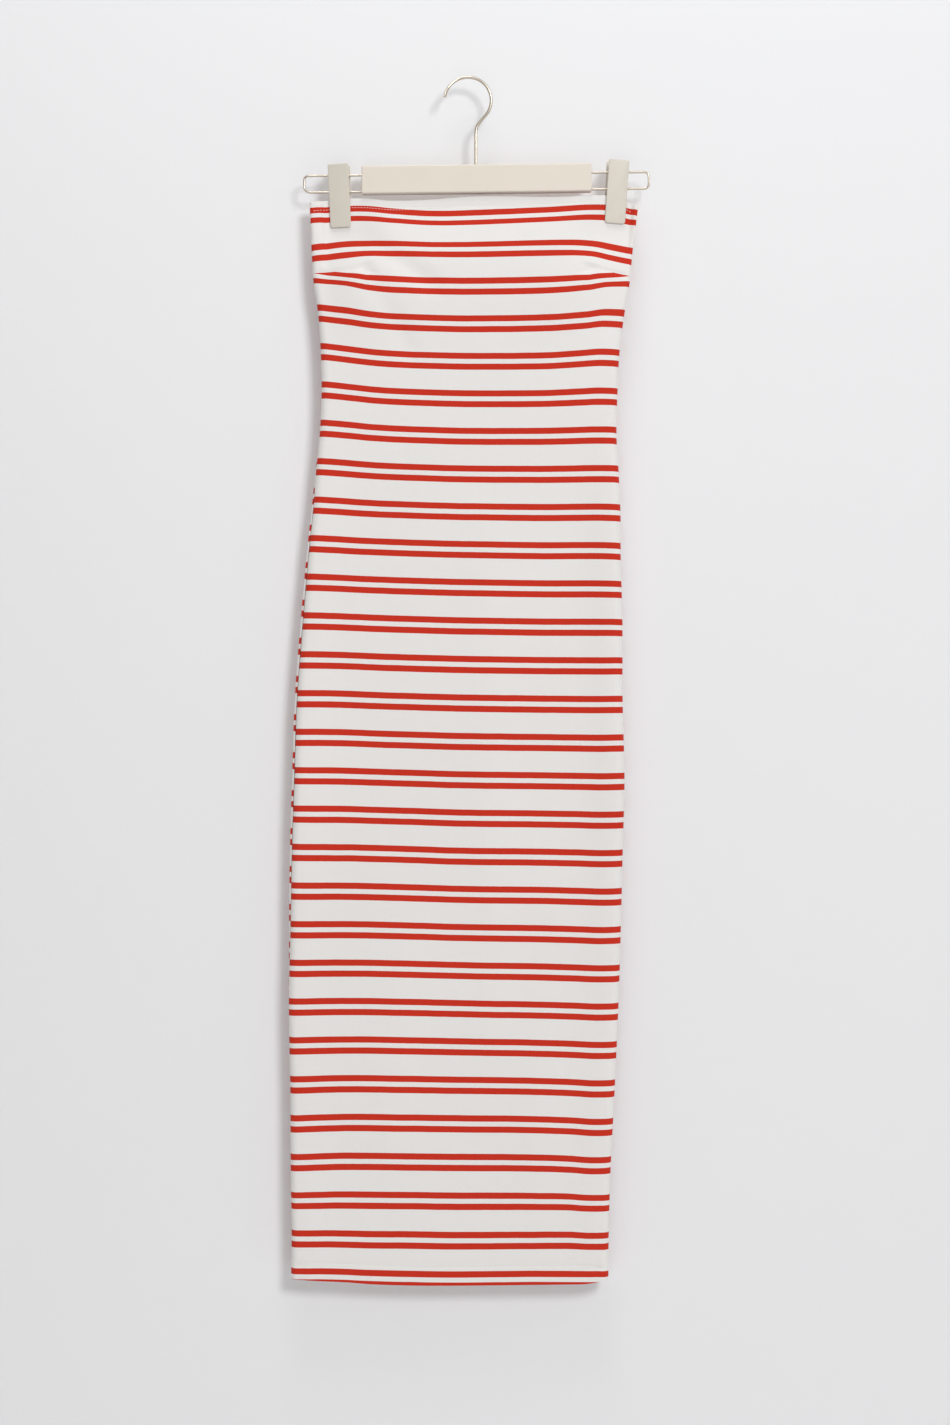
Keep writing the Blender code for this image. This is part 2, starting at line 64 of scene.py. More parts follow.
# Dress
TOP = 125.6                # hook to top edge, down the middle
LENGTH = 1156.5            # top edge to hem fold, down the middle
CLOTH = 1.1                # one layer of knit
TURNED = 1.9               # two layers of knit, pressed
TOP_TURN = 12.0            # depth of the turned top edge
TOP_STITCH = 10.0          # stitch line below the top edge
HEM_TURN = 20.5            # depth of the turned hem
HEM_STITCHES = (20.5, 16.9)  # stitch lines above the hem fold
SEAM_GAP = 0.05            # between the two panels at a side seam
SEAM_FLAT = 1.2            # pressed flat on each side of a seam
SEAM_DIP = 0.3            # how far the stitching pulls a seam in
SEAM_DIP_WIDTH = 1.1
FOLD_REACH = 24.0          # how far a side fold's fullness spreads into the panel
HEM_SWELL = 1.1            # how far the turned hem stands proud
HEM_RISE = (1.5, 3.0)      # from this far above its upper edge to this far below
HEM_SETTLED = 0.2          # share of a side fold's fullness past which it's at its full
GROOVES_FROM = (2.0, 8.0)  # in from a fold's edge, where grooves begin and are at their full
STITCH_DIP = 0.75          # how far a stitch line sinks in
STITCH_DIP_WIDTH = 2.5
STITCH_PITCH = 3.1         # from one stitch to the next
STITCH_LENGTH = 2.5
STITCH_THICK = 0.55
STITCH_MARGIN = 6.0        # from a side fold to the first stitch
STITCH_FROM = 100.0        # each is laid on the cloth from this far off
STITCH_FACETS = (8, 5)     # round a stitch, and along it
TURNED_AWAY = -0.5         # cloth that faces further away than this has no stitch
WAVE = 0.3                 # slight unevenness of hung cloth
WAVE_LENGTH = (75.0, 130.0)
WAVE_APART = 3.7           # keeps the two panels' waves unlike each other
THINNEST = 0.1             # wall left at the very edge of a folded rim
TURN_EASE = 2.0            # over which a turned edge's second layer begins
SMOOTH_UNDER = math.radians(40)

# The side folds of the hung dress
# below the hook, left fold, right fold
OUTLINE = (
    (125, -168.8, 182.5),
    (155, -167.5, 178.6),
    (185, -166.3, 174.9),
    (218, -164.2, 171.8),
    (250, -159.5, 166.4),
    (292, -156.6, 161.1),
    (335, -155.8, 158.9),
    (380, -158.0, 157.9),
    (417, -162.0, 160.1),
    (457, -165.6, 162.0),
    (510, -171.2, 162.4),
    (577, -177.0, 164.2),
    (660, -183.3, 164.4),
    (745, -186.2, 166.4),
    (825, -188.6, 164.4),
    (915, -189.8, 162.2),
    (985, -190.7, 160.0),
    (1078, -189.0, 155.8),
    (1160, -188.6, 151.6),
    (1230, -187.6, 149.6),
    (1285, -188.4, 149.2),
)

# How full the flattened tube is: radius of each side fold, how far each panel stands out
# from the middle plane, and how far the left seam has rolled to the front, in radians
# below the hook, left radius, right radius, front, back, roll
FULLNESS = (
    (125, 3.0, 3.0, 4.6, 4.6, 0.0),
    (142, 3.6, 3.6, 5.4, 4.8, 0.0),
    (165, 4.5, 4.5, 9.0, 5.0, 0.0),
    (188, 5.4, 5.4, 12.4, 5.2, 0.0),
    (218, 6.5, 6.5, 13.5, 5.5, 0.0),
    (300, 8.0, 8.5, 10.5, 5.5, 0.0),
    (400, 8.0, 9.0, 7.5, 5.5, 0.05),
    (480, 8.2, 9.5, 6.2, 5.8, 0.42),
    (700, 8.5, 10.0, 5.4, 6.0, 0.48),
    (880, 8.2, 9.6, 5.3, 6.0, 0.38),
    (980, 8.0, 9.0, 5.5, 6.0, 0.05),
    (1200, 7.8, 7.8, 6.5, 6.5, 0.0),
    (1285, 7.5, 7.5, 7.2, 7.0, 0.0),
)

# How far the knit's rows lift above their height at the middle of the panel
# down from the top edge, then the lift at each of the places across
FRONT_ACROSS = (0, 0.1, 0.17, 0.25, 0.375, 0.5, 0.75, 0.87, 0.93, 1)
DART_ROW = 78.4
FRONT_ROWS = (
    (0, -6.3, -2.6, -2.4, -4.8, -3.2, 0, -0.5, 1.0, 0.0, -10.6),
    (23.8, 2.5, 4.6, 4.5, 1.8, -0.8, 0, 3.7, 6.2, 5.4, 0.4),
    (57.8, -3.6, 0.5, 1.4, 1.0, 0.0, 0, 1.6, 1.1, -2.6, -7.0),
    (DART_ROW, -3.9, -1.6, 2.3, 1.7, 0.6, 0, 1.5, 2.4, -2.1, -6.9),
    (103.2, 12.7, 9.5, 5.0, 2.0, 0.5, 0, 1.4, 4.8, 8.4, 9.1),
    (136.7, 12.2, 8.0, 4.4, 2.3, 0.7, 0, 1.1, 3.7, 6.2, 5.8),
    (176.5, 11.0, 7.0, 4.2, 2.3, 0.8, 0, 0.5, 2.8, 4.2, 3.6),
    (255.6, 8.8, 6.3, 4.1, 2.5, 1.0, 0, 0.0, 0.8, 1.2, 0.9),
    (375.8, 6.4, 4.9, 3.6, 2.5, 1.1, 0, -1.2, -1.1, -1.3, -2.1),
    (538.6, 4.5, 4.4, 3.7, 2.5, 1.2, 0, -1.2, -1.6, -1.7, -1.4),
    (700.8, 4.2, 3.7, 3.5, 2.8, 1.5, 0, -1.1, -2.0, -2.5, -2.0),
    (862.4, 1.8, 2.0, 2.1, 2.0, 1.1, 0, -1.6, -2.9, -3.5, -2.9),
    (1025.6, 0.0, 0.7, 1.2, 1.1, 0.5, 0, -0.5, -1.8, -3.1, -2.7),
    (1109, 2.4, 2.1, 1.7, 1.0, 0.7, 0, 0.3, 0.5, -0.2, 0.0),
    (1145.3, 3.6, 3.6, 2.9, 1.6, 0.6, 0, 0.7, 0.6, 0.7, 0.6),
    (LENGTH, 6.9, 4.8, 3.7, 1.6, 0.2, 0, 0.8, 1.3, 2.0, 5.8),
)
BACK_ACROSS = (0, 0.1, 0.25, 0.5, 0.75, 0.9, 1)
BACK_ROWS = (
    (0, -6.3, -4.0, -5.4, -2.2, -0.6, 0.0, -10.6),
    (40, -1.0, 0.5, 0.5, 0, 0.5, 0.5, -4.0),
    (160, -3.0, -1.5, -0.5, 0, -0.5, -1.5, -4.0),
    (420, 0.5, 0.5, 0.5, 0, -0.5, -1.5, -3.0),
    (800, 3.0, 2.0, 1.0, 0, -1.0, -2.0, -2.5),
    (1060, 3.0, 2.0, 1.0, 0, 0.0, 0.0, 0.0),
    (LENGTH, 6.9, 4.8, 1.6, 0, 0.8, 1.8, 5.8),
)

# How much knit lies between the first pair of stripes and a row, down the middle
# down from the top edge, knit
KNIT = (
    (23.7, 0.0),
    (57.8, 41.0),
    (97.4, 82.0),
    (255.6, 246.0),
    (416.0, 410.0),
    (579.3, 574.0),
    (741.5, 738.0),
    (903.3, 902.0),
    (1067.1, 1066.0),
    (1109.0, 1107.0),
    (1150.5, 1148.0),
)
FIRST_PAIR = KNIT[0][0]
TOP_STRETCH = 1.06         # knit to a millimetre of height above the first pair
LAST_STRIPE = 1145.3
PAIR_ABOVE_DART = 57.8
STRIPE_BELOW_DART = 103.2
BACK_SHIFT = 18.4          # how far the back's stripes lie above the front's

# Soft troughs and ridges
# from x, below the hook, to x, below the hook, height out, half-width
FRONT_CREASES = (
    (-122, 162, -42, 217, -2.6, 11.0),     # pull from the left clip
    (-104, 212, -62, 290, -1.5, 12.0),     # from the left dart's point towards the waist
    (-88, 232, -78, 240, 1.5, 38.0),       # left side of the bust
    (104, 228, 108, 240, 1.5, 38.0),       # right side of the bust
    (-109, 201, -107, 202, -2.0, 6.0),     # left dart's point
    (128, 202, 130, 203, -2.0, 6.0),       # right dart's point
    (-114, 197, -101, 194, 0.8, 2.4),      # puckers round the left dart's point
    (-112, 205, -99, 208, -1.0, 2.6),
    (122, 195, 135, 198, 0.9, 2.4),        # puckers round the right dart's point
    (120, 207, 134, 204, -1.1, 2.6),
    (166, 158, 166, 172, -0.8, 3.5),       # beside the right clip
    (16, 470, 26, 1010, 1.7, 24.0),        # long ridge down the skirt
    (-70, 880, -86, 1120, 1.0, 22.0),      # lower skirt, left
    (78, 980, 70, 1180, 0.9, 20.0),        # lower skirt, right
)
BACK_CREASES = (
    (-104, 160, -30, 240, -1.8, 14.0),
    (118, 160, 66, 228, -1.6, 13.0),
    (-48, 420, -66, 980, 1.6, 24.0),
    (62, 520, 44, 1060, 1.4, 22.0),
    (-10, 900, -4, 1180, -1.0, 20.0),
)

# A bust dart: its point as a share of the panel's width, and the knit that it swallows
# at the seam
LEFT_DART = 0.17
RIGHT_DART = 0.87
DART_INTAKE = 16.9
DART_GROOVE = 0.9
DART_GROOVE_WIDTH = 3.0
DART_GROOVE_END = 0.15     # share of a dart over which its groove runs out

# Hanger
HANGER_TILT = math.radians(0.66)
BAR_CENTRE = (9.0, -2.5, -107.5)
FRAME_WIDTH = 366.5        # between the centres of the wire's two ends
FRAME_TOP = 6.1            # upper wire above the bar's centre
FRAME_BOTTOM = -11.5       # lower wire below it
FRAME_CORNERS = (4.5, 4.5, 6.5, 5.0)  # upper right, upper left, lower left, lower right
FRAME_WIRE = 1.2           # radius
STOP_X = 171.7             # bead on the lower wire, beyond the right clip
STOP_SIZE = (3.2, 2.7, 2.7)
STOP_FACETS = (24, 16)
HOOK_WIRE = 1.65           # radius
HOOK_RADIUS = 24.6
HOOK_END = -40.0           # where the crook straightens, in degrees from +X
HOOK_TIP = 174.0
HOOK_TIP_FORWARD = 6.0
HOOK_STEPS = 66
HOOK_TIP_STEPS = 22        # that many of them come forward to the tip
CORNER_STEPS = 14
WIRE_ROUNDING = 5
STEM_X = 8.2
STEM_TOP = -58.0
STEM_MIDDLE = -76.0
STEM_FOOT = -97.5
HOOK_NECK = ((4.8, 12.5), (2.0, 8.6), (0.5, 4.6), (0.0, 0.0))  # from the stem's top

# Clips
CLIP_WIDTH = 22.0
CLIP_HEIGHT = 67.0
CLIP_PLATE = 2.2
CLIP_CORNER = 3.0
CLIP_TOP_CORNER = 1.6
CLIP_EDGE = 0.85
CLIP_CORNER_STEPS = 6
CLIP_EDGE_STEPS = 4
CLIP_SHARP = math.radians(50)
CLIP_PAD = 12.5            # height of the upright gripping end
CLIP_SPREAD = 3.7          # how much further apart the jaws stand at the top
JAW_GAP = 2.35             # between the middle plane and a jaw's gripping face
SPRING_WIDTH = 10.0
SPRING_STRIP = 0.6
SPRING_BEND = 2.4          # inner radius round the lower wire
SPRING_REACH = 31.0        # top of the legs above the clip's centre
SPRING_CLEAR = 0.3
SPRING_STEPS = 18
# name, x, below the hook, lean of its foot to the right, turn about the upright
CLIPS = (
    ("left", -136.1, 125.3, math.radians(2.2), math.radians(-6.0)),
    ("right", 157.5, 120.9, math.radians(-3.4), math.radians(8.0)),
)
GRIP_OUTER = 15.4          # the cloth lies flat this far from a clip's middle, outwards
GRIP_INNER = 19.0          # and this far inwards
GRIP_BELOW = 1.5           # and this far below its foot
GRIP_FADE_OUTER = 4.5
GRIP_FADE_INNER = 26.0
GRIP_FADE_DOWN = 34.0

# Mesh of the panels
NEAR_SEAM = (0.06, 0.35, 0.7, 1.1, 1.6, 2.3, 3.2, 4.3, 5.6, 7.0, 8.5, 10.1, 11.8, 13.6,
             15.5, 17.6, 19.9, 22.4, 25.1)
MIDDLE_COLUMNS = 94
FLAT_ROWS = 60             # rows over which the flat cut is measured
# from this far down, rows stand this far apart
ROW_STEPS = (
    (0, 0.2),
    (1.0, 0.9),
    (7.0, 1.0),
    (14.0, 2.6),
    (DART_ROW - 7.4, 1.5),
    (DART_ROW, 1.5),
    (STRIPE_BELOW_DART, 3.0),
    (160.0, 5.0),
    (LENGTH - 42.0, 2.6),
    (LENGTH - 24.0, 0.9),
    (LENGTH - 14.0, 1.6),
    (LENGTH - 1.0, 0.2),
)

# Knit material, in metres
STRIPE_EDGE = 0.0003       # over which one yarn gives way to the other
STRIPE_WANDER = 0.0004
LOOP_RELIEF = 0.00005
FUZZ_RELIEF = 0.00003
SOFT_RELIEF = 0.00025

# Stage: a wall close behind the hanger, and a floor well below the hem
WALL_BEHIND = 26.0
WALL_SIZE = (4400.0, 3600.0)
FLOOR_BELOW = -1720.0
FLOOR_SIZE = 40000.0
CAMERA = (7.4, -2808.0, -674.0)
CAMERA_LENS = 66.7
BACKGROUND_LIGHT = 0.85
# name, place, aimed at, size, watts, colour
LIGHTS = (
    ("key", (2.0, -4.7, 1.6), (0.0, 0.0, -0.7), 1.3, 130.0, (0.98, 0.99, 1.0)),
    ("overhead", (-0.1, -0.75, 1.6), (0.0, 0.0, -0.6), 0.7, 13.5, (0.98, 0.99, 1.0)),
    ("low_fill", (-0.3, -2.7, -1.3), (0.0, 0.0, -1.2), 1.2, 5.0, (1.0, 0.975, 0.95)),
    ("rear_right", (1.6, 2.1, 0.5), (0.0, 0.0, -0.6), 1.4, 14.0, (1.0, 0.99, 0.97)),
    ("rear_left", (-1.7, 2.0, -0.3), (0.0, 0.0, -0.7), 1.4, 9.0, (0.97, 0.985, 1.0)),
)


def curve_through(stations, values, at):
    """The value at one place, on a smooth curve through values at rising stations."""
    last = len(stations) - 1
    at = min(max(at, stations[0]), stations[last])
    low = min(bisect_right(stations, at) - 1, last - 1)

    def slope(k):
        before, after = max(k - 1, 0), min(k + 1, last)
        return (values[after] - values[before]) / (stations[after] - stations[before])

    span = stations[low + 1] - stations[low]
    s = (at - stations[low]) / span
    start, end = slope(low) * span, slope(low + 1) * span
    rise = s * s * (3 - 2 * s)
    return (values[low] * (1 - rise) + values[low + 1] * rise
            + s * (1 - s) * ((1 - s) * start - s * end))


def table_row(table, at):
    """Every column of a table after its first, at one value of the first."""
    stations = [row[0] for row in table]
    fields = range(1, len(table[0]))
    return [curve_through(stations, [row[k] for row in table], at) for k in fields]


def ease(value, start, end):
    """0 before start, 1 after end, smooth between."""
    s = min(max((value - start) / (end - start), 0.0), 1.0)
    return s * s * (3 - 2 * s)


def bump(distance, width):
    """1 at no distance, and soon nothing past the width."""
    return math.exp(-(distance / width) ** 2)


def side_fold(arc, radius, seam_angle):
    """A point of a side fold: how far it lies in from the fold's edge, and how far out.

    The arc is measured from the seam. The seam is pressed flat, and lies at the seam angle
    past the fold's edge, on the side that the arc runs to.
    """
    inward = SEAM_FLAT * math.sin(seam_angle) + radius * (1 - math.cos(seam_angle))
    outward = radius * math.sin(seam_angle)
    flat = min(arc, SEAM_FLAT)
    inward += flat * math.sin(seam_angle)
    outward += flat * math.cos(seam_angle)
    turned = min(max(arc - SEAM_FLAT, 0) / radius, math.pi / 2 - seam_angle)
    angle = seam_angle + turned
    inward += radius * (math.cos(seam_angle) - math.cos(angle))
    outward += radius * (math.sin(angle) - math.sin(seam_angle))
    beyond = max(arc - SEAM_FLAT - radius * (math.pi / 2 - seam_angle), 0)
    dip = SEAM_DIP * bump(arc, SEAM_DIP_WIDTH)
    return (inward + beyond + dip * math.cos(seam_angle),
            outward - dip * math.sin(seam_angle))


def clip_grip(x, below):
    """How tightly the clips hold the cloth at a place, and how far they turn it back."""
    grip = 0.0
    turn = 0.0
    for _, clip_x, clip_below, lean, yaw in CLIPS:
        outwards = math.copysign(1, clip_x)
        middle = clip_x + (below - clip_below) * math.tan(lean)
        away = (x - middle) * outwards
        past = max(away - GRIP_OUTER, 0) / GRIP_FADE_OUTER
        past += max(-away - GRIP_INNER, 0) / GRIP_FADE_INNER
        lower = max(below - clip_below - CLIP_HEIGHT / 2 - GRIP_BELOW, 0) / GRIP_FADE_DOWN
        held = math.exp(-past ** 2 - lower ** 2)
        grip = max(grip, held)
        turn += held * math.tan(yaw) * (x - middle)
    return grip, turn


def creases(table, x, below):
    """Height of the soft ridges and troughs at a place."""
    height = 0.0
    for x0, below0, x1, below1, out, width in table:
        run, drop = x1 - x0, below1 - below0
        along = ((x - x0) * run + (below - below0) * drop) / (run * run + drop * drop + 1e-9)
        along = min(max(along, 0.0), 1.0)
        away = math.hypot(x - x0 - run * along, below - below0 - drop * along)
        height += out * bump(away, width)
    return height


def dart_share(share):
    """1 at a side seam, falling to 0 at the dart's point."""
    return max(1 - share / LEFT_DART, (share - RIGHT_DART) / (1 - RIGHT_DART), 0)


def dart_groove(down, share):
    """Depth of the sewn groove along the bust darts."""
    run_out = ease(dart_share(share), 0.0, DART_GROOVE_END)
    return DART_GROOVE * run_out * bump(down - DART_ROW, DART_GROOVE_WIDTH)


def rim_fall(down):
    """How far the surface falls in where an edge of the panel is folded round."""
    radius = TURNED / 2
    edge = min(down, LENGTH - down) / radius
    return radius * (1 - math.sqrt(1 - (1 - edge) ** 2)) if edge < 1 else 0.0


def stitch_dip(above_fold, below_edge):
    """How far the hem's and the top edge's stitch lines sink into the cloth."""
    middle = sum(HEM_STITCHES) / len(HEM_STITCHES)
    hem = bump(above_fold - middle, STITCH_DIP_WIDTH)
    return STITCH_DIP * max(hem, 0.5 * bump(below_edge - TOP_STITCH, STITCH_DIP_WIDTH / 2))


def columns(total):
    """Distances across a panel: fine where its sides turn, and even in the middle."""
    far = [total - distance for distance in reversed(NEAR_SEAM)]
    gap = (far[0] - NEAR_SEAM[-1]) / (MIDDLE_COLUMNS + 1)
    middle = [NEAR_SEAM[-1] + gap * (k + 1) for k in range(MIDDLE_COLUMNS)]
    return list(NEAR_SEAM) + middle + far


def row_depths():
    """Distances down the panel of its mesh's rows."""
    depths = []
    ends = [start for start, _ in ROW_STEPS[1:]] + [LENGTH]
    for (start, step), end in zip(ROW_STEPS, ends):
        count = max(round((end - start) / step), 1)
        depths += [start + (end - start) * k / count for k in range(count)]
    return depths + [LENGTH]


class Panelling:
    """One panel of the dress: where each of its points hangs, and its place in the knit."""

    def __init__(self, side):
        self.side = side
        self.rows = FRONT_ROWS if side == FRONT else BACK_ROWS
        self.across = FRONT_ACROSS if side == FRONT else BACK_ACROSS
        self.creases = FRONT_CREASES if side == FRONT else BACK_CREASES
        self.marks = {mark: table_row(self.rows, mark) for mark in (
            0, FIRST_PAIR, PAIR_ABOVE_DART, DART_ROW, STRIPE_BELOW_DART, LAST_STRIPE, LENGTH)}

    def height(self, mark, share):
        """Height of one of the marked rows at a place across."""
        return curve_through(self.across, self.marks[mark], share) - TOP - mark

    def knit_between(self, upper, lower, swallowed, share, z):
        """Knit above a point that lies between two marked rows, evenly spread."""
        top, bottom = self.height(upper, share), self.height(lower, share)
        start, end = table_row(KNIT, upper)[0], table_row(KNIT, lower)[0]
        start += swallowed
        return start + (end - start) * (top - z) / (top - bottom)

    def knit(self, down, share, z, below_dart):
        """How much knit lies between the first pair of stripes and a point."""
        if down <= FIRST_PAIR:
            return (self.height(FIRST_PAIR, share) - z) * TOP_STRETCH
        if down >= LAST_STRIPE:
            return table_row(KNIT, LAST_STRIPE)[0] + self.height(LAST_STRIPE, share) - z
        if self.side == FRONT and PAIR_ABOVE_DART < down < STRIPE_BELOW_DART:
            if down > DART_ROW or down == DART_ROW and below_dart:
                swallowed = DART_INTAKE * dart_share(share)
                return self.knit_between(DART_ROW, STRIPE_BELOW_DART, swallowed, share, z)
            return self.knit_between(PAIR_ABOVE_DART, DART_ROW, 0.0, share, z)
        return table_row(KNIT, down)[0]

    def row(self, down):
        """Each point of a row, with its distance across the knit and its share across."""
        side = self.side
        lifts = table_row(self.rows, down)
        level = TOP + down
        left = table_row(OUTLINE, level - lifts[0])[0]
        right = table_row(OUTLINE, level - lifts[-1])[1]
        left_radius, right_radius, front, back, roll = table_row(FULLNESS, level)
        body = front if side == FRONT else back
        roll *= side
        left_turn = SEAM_FLAT + left_radius * (math.pi / 2 - roll)
        right_turn = SEAM_FLAT + right_radius * math.pi / 2
        left_edge, _ = side_fold(left_turn, left_radius, roll)
        right_edge, _ = side_fold(right_turn, right_radius, 0.0)
        total = left_turn + (right - left - left_edge - right_edge) + right_turn
        turned_edge = LENGTH - HEM_TURN
        hem = HEM_SWELL * ease(down, turned_edge - HEM_RISE[0], turned_edge + HEM_RISE[1])
        fall = rim_fall(down)
        points = []
        for arc in columns(total):
            if arc < total / 2:
                inward, outward = side_fold(arc, left_radius, roll)
                x = left + inward
            else:
                inward, outward = side_fold(total - arc, right_radius, 0.0)
                x = right - inward
            share = (x - left) / (right - left)
            z = curve_through(self.across, lifts, share) - level
            settled_left = bump(max(x - left - left_edge, 0), FOLD_REACH)
            settled_right = bump(max(right - right_edge - x, 0), FOLD_REACH)
            settled = 1 - max(settled_left, settled_right)
            middle = body + creases(self.creases, x, -z)
            middle += WAVE * noise.noise(
                Vector((x / WAVE_LENGTH[0], side * WAVE_APART, z / WAVE_LENGTH[1])))
            outward += (middle - outward) * settled + hem * ease(settled, 0, HEM_SETTLED)
            surface = ease(inward, *GROOVES_FROM)
            if side == FRONT:
                outward -= dart_groove(down, share) * surface
            outward -= surface * stitch_dip(LENGTH - down, down)
            grip, turn = clip_grip(x, -z)
            outward += (SEAM_GAP / 2 + TURNED - outward) * grip - fall
            points.append((Vector((x, turn - side * outward, z)), arc - total / 2, share))
        return points


def arithmetic(operation):
    """A method of Value that adds one step of arithmetic to its material."""
    return lambda *values: values[0].finish.maths(operation, *values)


class Value:
    """A number in a material, which Python's own operators work on."""

    def __init__(self, finish, socket):
        self.finish = finish
        self.socket = socket

    __add__ = __radd__ = arithmetic("ADD")
    __sub__ = arithmetic("SUBTRACT")
    __mul__ = __rmul__ = arithmetic("MULTIPLY")
    __truediv__ = arithmetic("DIVIDE")
    __abs__ = arithmetic("ABSOLUTE")
    __round__ = arithmetic("ROUND")
    sine = arithmetic("SINE")

    def __rsub__(self, other):
        return self.finish.maths("SUBTRACT", other, self)

    def clamped(self):
        """The value kept from 0 to 1."""
        return self.finish.maths("ADD", self, 0.0, clamp=True)


class Finish:
    """A material's nodes round its Principled shader."""

    def __init__(self, name, colour, **constants):
        self.material = bpy.data.materials.new(name)
        self.material.use_nodes = True
        self.tree = self.material.node_tree
        self.shader = self.tree.nodes["Principled BSDF"]
        self.shader.inputs["Base Color"].default_value = (*colour, 1)
        for socket, value in constants.items():
            self.shader.inputs[socket.replace("_", " ")].default_value = value

    def add(self, kind, settings, sockets):
        """One node: its settings first, then the values or links of its sockets."""
        node = self.tree.nodes.new(kind)
        for name, setting in settings.items():
            setattr(node, name, setting)
        for name, value in sockets.items():
            self.feed(node.inputs[name], value)
        return node

    def feed(self, socket, value):
        """Gives a socket a value or a link."""
        if isinstance(value, Value):
            value = value.socket
        if isinstance(value, bpy.types.NodeSocket):
            self.tree.links.new(value, socket)
        else:
            socket.default_value = value

    def maths(self, operation, *values, clamp=False):
        """One step of arithmetic."""
        node = self.add("ShaderNodeMath", {"operation": operation, "use_clamp": clamp},
                        dict(enumerate(values)))
        return Value(self, node.outputs[0])

    def place(self):
        """Where a point lies on its piece, as a vector."""
        return self.add("ShaderNodeTexCoord", {}, {}).outputs["Object"]

    def parts(self, vector):
        """The three numbers of a vector."""
        node = self.add("ShaderNodeSeparateXYZ", {}, {"Vector": vector})
        return [Value(self, socket) for socket in node.outputs]

    def grain(self, vector, scale, detail=2.0, roughness=0.5):
        """Soft noise from 0 to 1."""
        node = self.add("ShaderNodeTexNoise", {}, {
            "Vector": vector, "Scale": scale, "Detail": detail, "Roughness": roughness})
        return Value(self, node.outputs["Fac"])

    def stretched(self, vector, scale):
        """A vector scaled by a different amount each way."""
        node = self.add("ShaderNodeVectorMath", {"operation": "MULTIPLY"},
                        {0: vector, 1: scale})
        return node.outputs[0]

    def mix(self, amount, first, second):
        """One colour turning into another."""
        node = self.add("ShaderNodeMix", {"data_type": "RGBA"},
                        {0: amount, 6: first, 7: second})
        return node.outputs[2]

    def tint(self, amount, colour, darkest, lightest):
        """A colour that runs from a darker shade of itself to a lighter one."""
        return self.mix(amount, shade_of(colour, darkest), shade_of(colour, lightest))

    def relief(self, height):
        """Raises the surface by a height in metres."""
        node = self.add("ShaderNodeBump", {}, {
            "Height": height, "Strength": 1.0, "Distance": 1.0})
        self.feed(self.shader.inputs["Normal"], node.outputs["Normal"])

    def vary(self, socket, value):
        """Lets one of the shader's sockets change over the surface."""
        self.feed(self.shader.inputs[socket], value)


def shade_of(colour, amount):
    """A colour made lighter or darker, with its alpha."""
    return (*(min(part * amount, 1.0) for part in colour), 1.0)


def knit_finish(look):
    """Fine double knit: red stripes in pairs on white, with its wales and courses, and painted
    shade in the hollows between its loops.
    """
    finish = Finish("striped_knit", look.white, Roughness=0.86, Specular_IOR_Level=0.18,
                    Sheen_Weight=0.04, Sheen_Roughness=0.4)
    flat = finish.add("ShaderNodeUVMap", {"uv_map": "knit"}, {}).outputs["UV"]
    across, down, _ = finish.parts(flat)
    place = finish.place()

    wale = across / look.wale
    leg = abs(wale - round(wale)) * 2.0
    course = down / look.course + leg * 0.5
    loops = (course * math.tau).sine() * 0.5 + 0.5
    relief = (1.0 - leg * leg) * 0.6 + loops * 0.4

    uneven = finish.grain(finish.stretched(flat, (60.0, 25.0, 1.0)), 1.0) - 0.5
    step = down + leg * (look.course * 0.45) + uneven * STRIPE_WANDER
    turns = step / look.pitch
    from_pair = abs(turns - round(turns)) * look.pitch
    inside = look.stripe / 2 - abs(from_pair - look.spacing / 2)
    red = (inside / STRIPE_EDGE + 0.5).clamped()

    cloudy = finish.grain(place, 9.0, 3.0)
    streaky = finish.grain(finish.stretched(flat, (900.0, 14.0, 1.0)), 1.0)
    tone = (cloudy * 0.6 + streaky * 0.4).clamped()
    white = finish.tint(tone, look.white, 0.97, 1.02)
    # painted shade: the white darkens in the hollows between the loops, where the loop relief
    # is low
    white = finish.mix((1.0 - relief) * 0.16, white, shade_of(look.white, 0.8))
    dyed = finish.tint(tone, look.red, 0.92, 1.06)
    # painted shade: the red darkens the same way in the hollows between the loops
    dyed = finish.mix((1.0 - relief) * 0.3, dyed, shade_of(look.red, 0.6))
    finish.vary("Base Color", finish.mix(red, white, dyed))
    fuzz = finish.grain(place, 1400.0, 3.0, 0.6)
    finish.vary("Roughness", 0.8 + fuzz * 0.14 - red * 0.06)
    soft = finish.grain(place, 55.0, 2.0)
    finish.relief(relief * LOOP_RELIEF + fuzz * FUZZ_RELIEF + soft * SOFT_RELIEF)
    return finish.material


def thread_finish(look):
    """Sewing thread: two plies twisted round each other, with painted shade in the grooves
    between them.
    """
    finish = Finish("sewing_thread", look.thread, Roughness=0.6, Sheen_Weight=0.1)
    x, _, z = finish.parts(finish.place())
    twist = ((x + z) * 9000.0).sine() * 0.5 + 0.5
    # painted shade: the thread darkens where the twist's relief is low, in the grooves between
    # the plies
    finish.vary("Base Color", finish.tint(twist, look.thread, 0.88, 1.0))
    finish.vary("Roughness", 0.52 + twist * 0.14)
    finish.relief(twist * 0.00003)
    return finish.material


def plastic_finish(name, colour, gloss, grain):
    """Satin moulded plastic with a fine grain."""
    finish = Finish(name, colour, Roughness=gloss, Specular_IOR_Level=0.45)
    place = finish.place()
    cloudy = finish.grain(place, 22.0, 3.0)
    fine = finish.grain(place, 1500.0, 2.0)
    finish.vary("Base Color", finish.tint(cloudy, colour, 0.965, 1.03))
    finish.vary("Roughness", gloss - 0.05 + cloudy * 0.06 + fine * 0.05)
    finish.relief(fine * grain + cloudy * 0.00006)
    return finish.material


